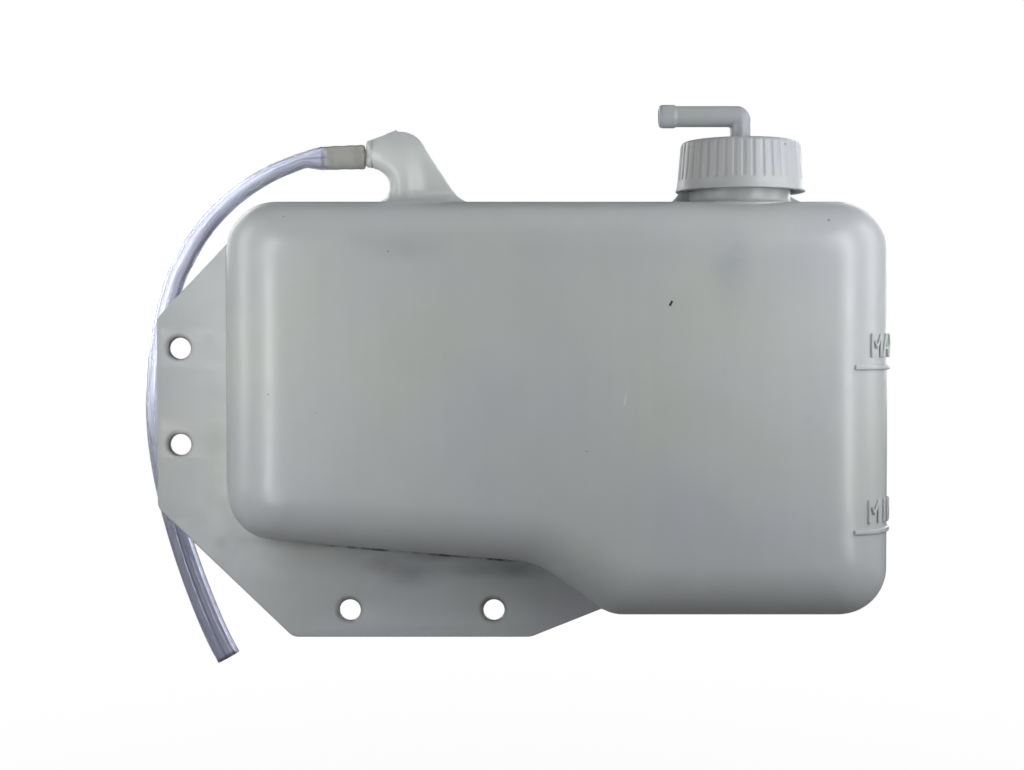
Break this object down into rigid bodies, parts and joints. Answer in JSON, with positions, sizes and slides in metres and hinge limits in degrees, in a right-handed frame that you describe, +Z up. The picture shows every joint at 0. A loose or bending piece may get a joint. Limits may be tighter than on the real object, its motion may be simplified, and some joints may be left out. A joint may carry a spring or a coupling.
{
  "type": "coolant expansion tank",
  "caption": "Blow-moulded coolant expansion tank with a bolting flange, ribbed screw cap, swivelling hose elbow, dip tube and clear overflow hose.",
  "frame": {"origin": "midway between the two side bolt holes, on the flange's back face", "axes": "+X along the tank away from the side bolt holes, +Y out of the flange's back face into what the tank is bolted to, +Z up"},
  "size_m": [0.3069, 0.078, 0.2336],
  "materials": {
    "tank_plastic": "natural polyethylene, satin, slightly see-through",
    "cap_plastic": "natural moulded plastic, satin",
    "elbow_plastic": "natural moulded plastic, faintly blue",
    "seal_rubber": "plain moulded rubber",
    "dip_plastic": "clear hose plastic, faintly blue",
    "hose_plastic": "clear hose plastic, faintly blue"
  },
  "bodies": {
    "tank": {"tank": "tank_plastic", "overflow_hose": "hose_plastic"},
    "seal": {"seal": "seal_rubber"},
    "cap": {"cap": "cap_plastic"},
    "elbow": {"elbow": "elbow_plastic", "dip_tube": "dip_plastic"}
  },
  "joints": [
    {"name": "cap_lift", "type": "slide", "parent": "tank", "child": "seal", "axis": [0, 0, 1], "range_m": [0, 0.006]},
    {"name": "cap_turn", "type": "hinge", "parent": "seal", "child": "cap", "pos_m": [0.2324, -0.0015, 0.1052], "axis": [0, 0, 1], "range_deg": [0, 540]},
    {"name": "elbow_swivel", "type": "hinge", "parent": "seal", "child": "elbow", "pos_m": [0.2324, -0.0015, 0.1052], "axis": [0, 0, 1], "continuous": true}
  ],
  "couplings": [
    {"joint": "cap_lift", "follows": "cap_turn", "m_per_rad": 0.0006366}
  ]
}
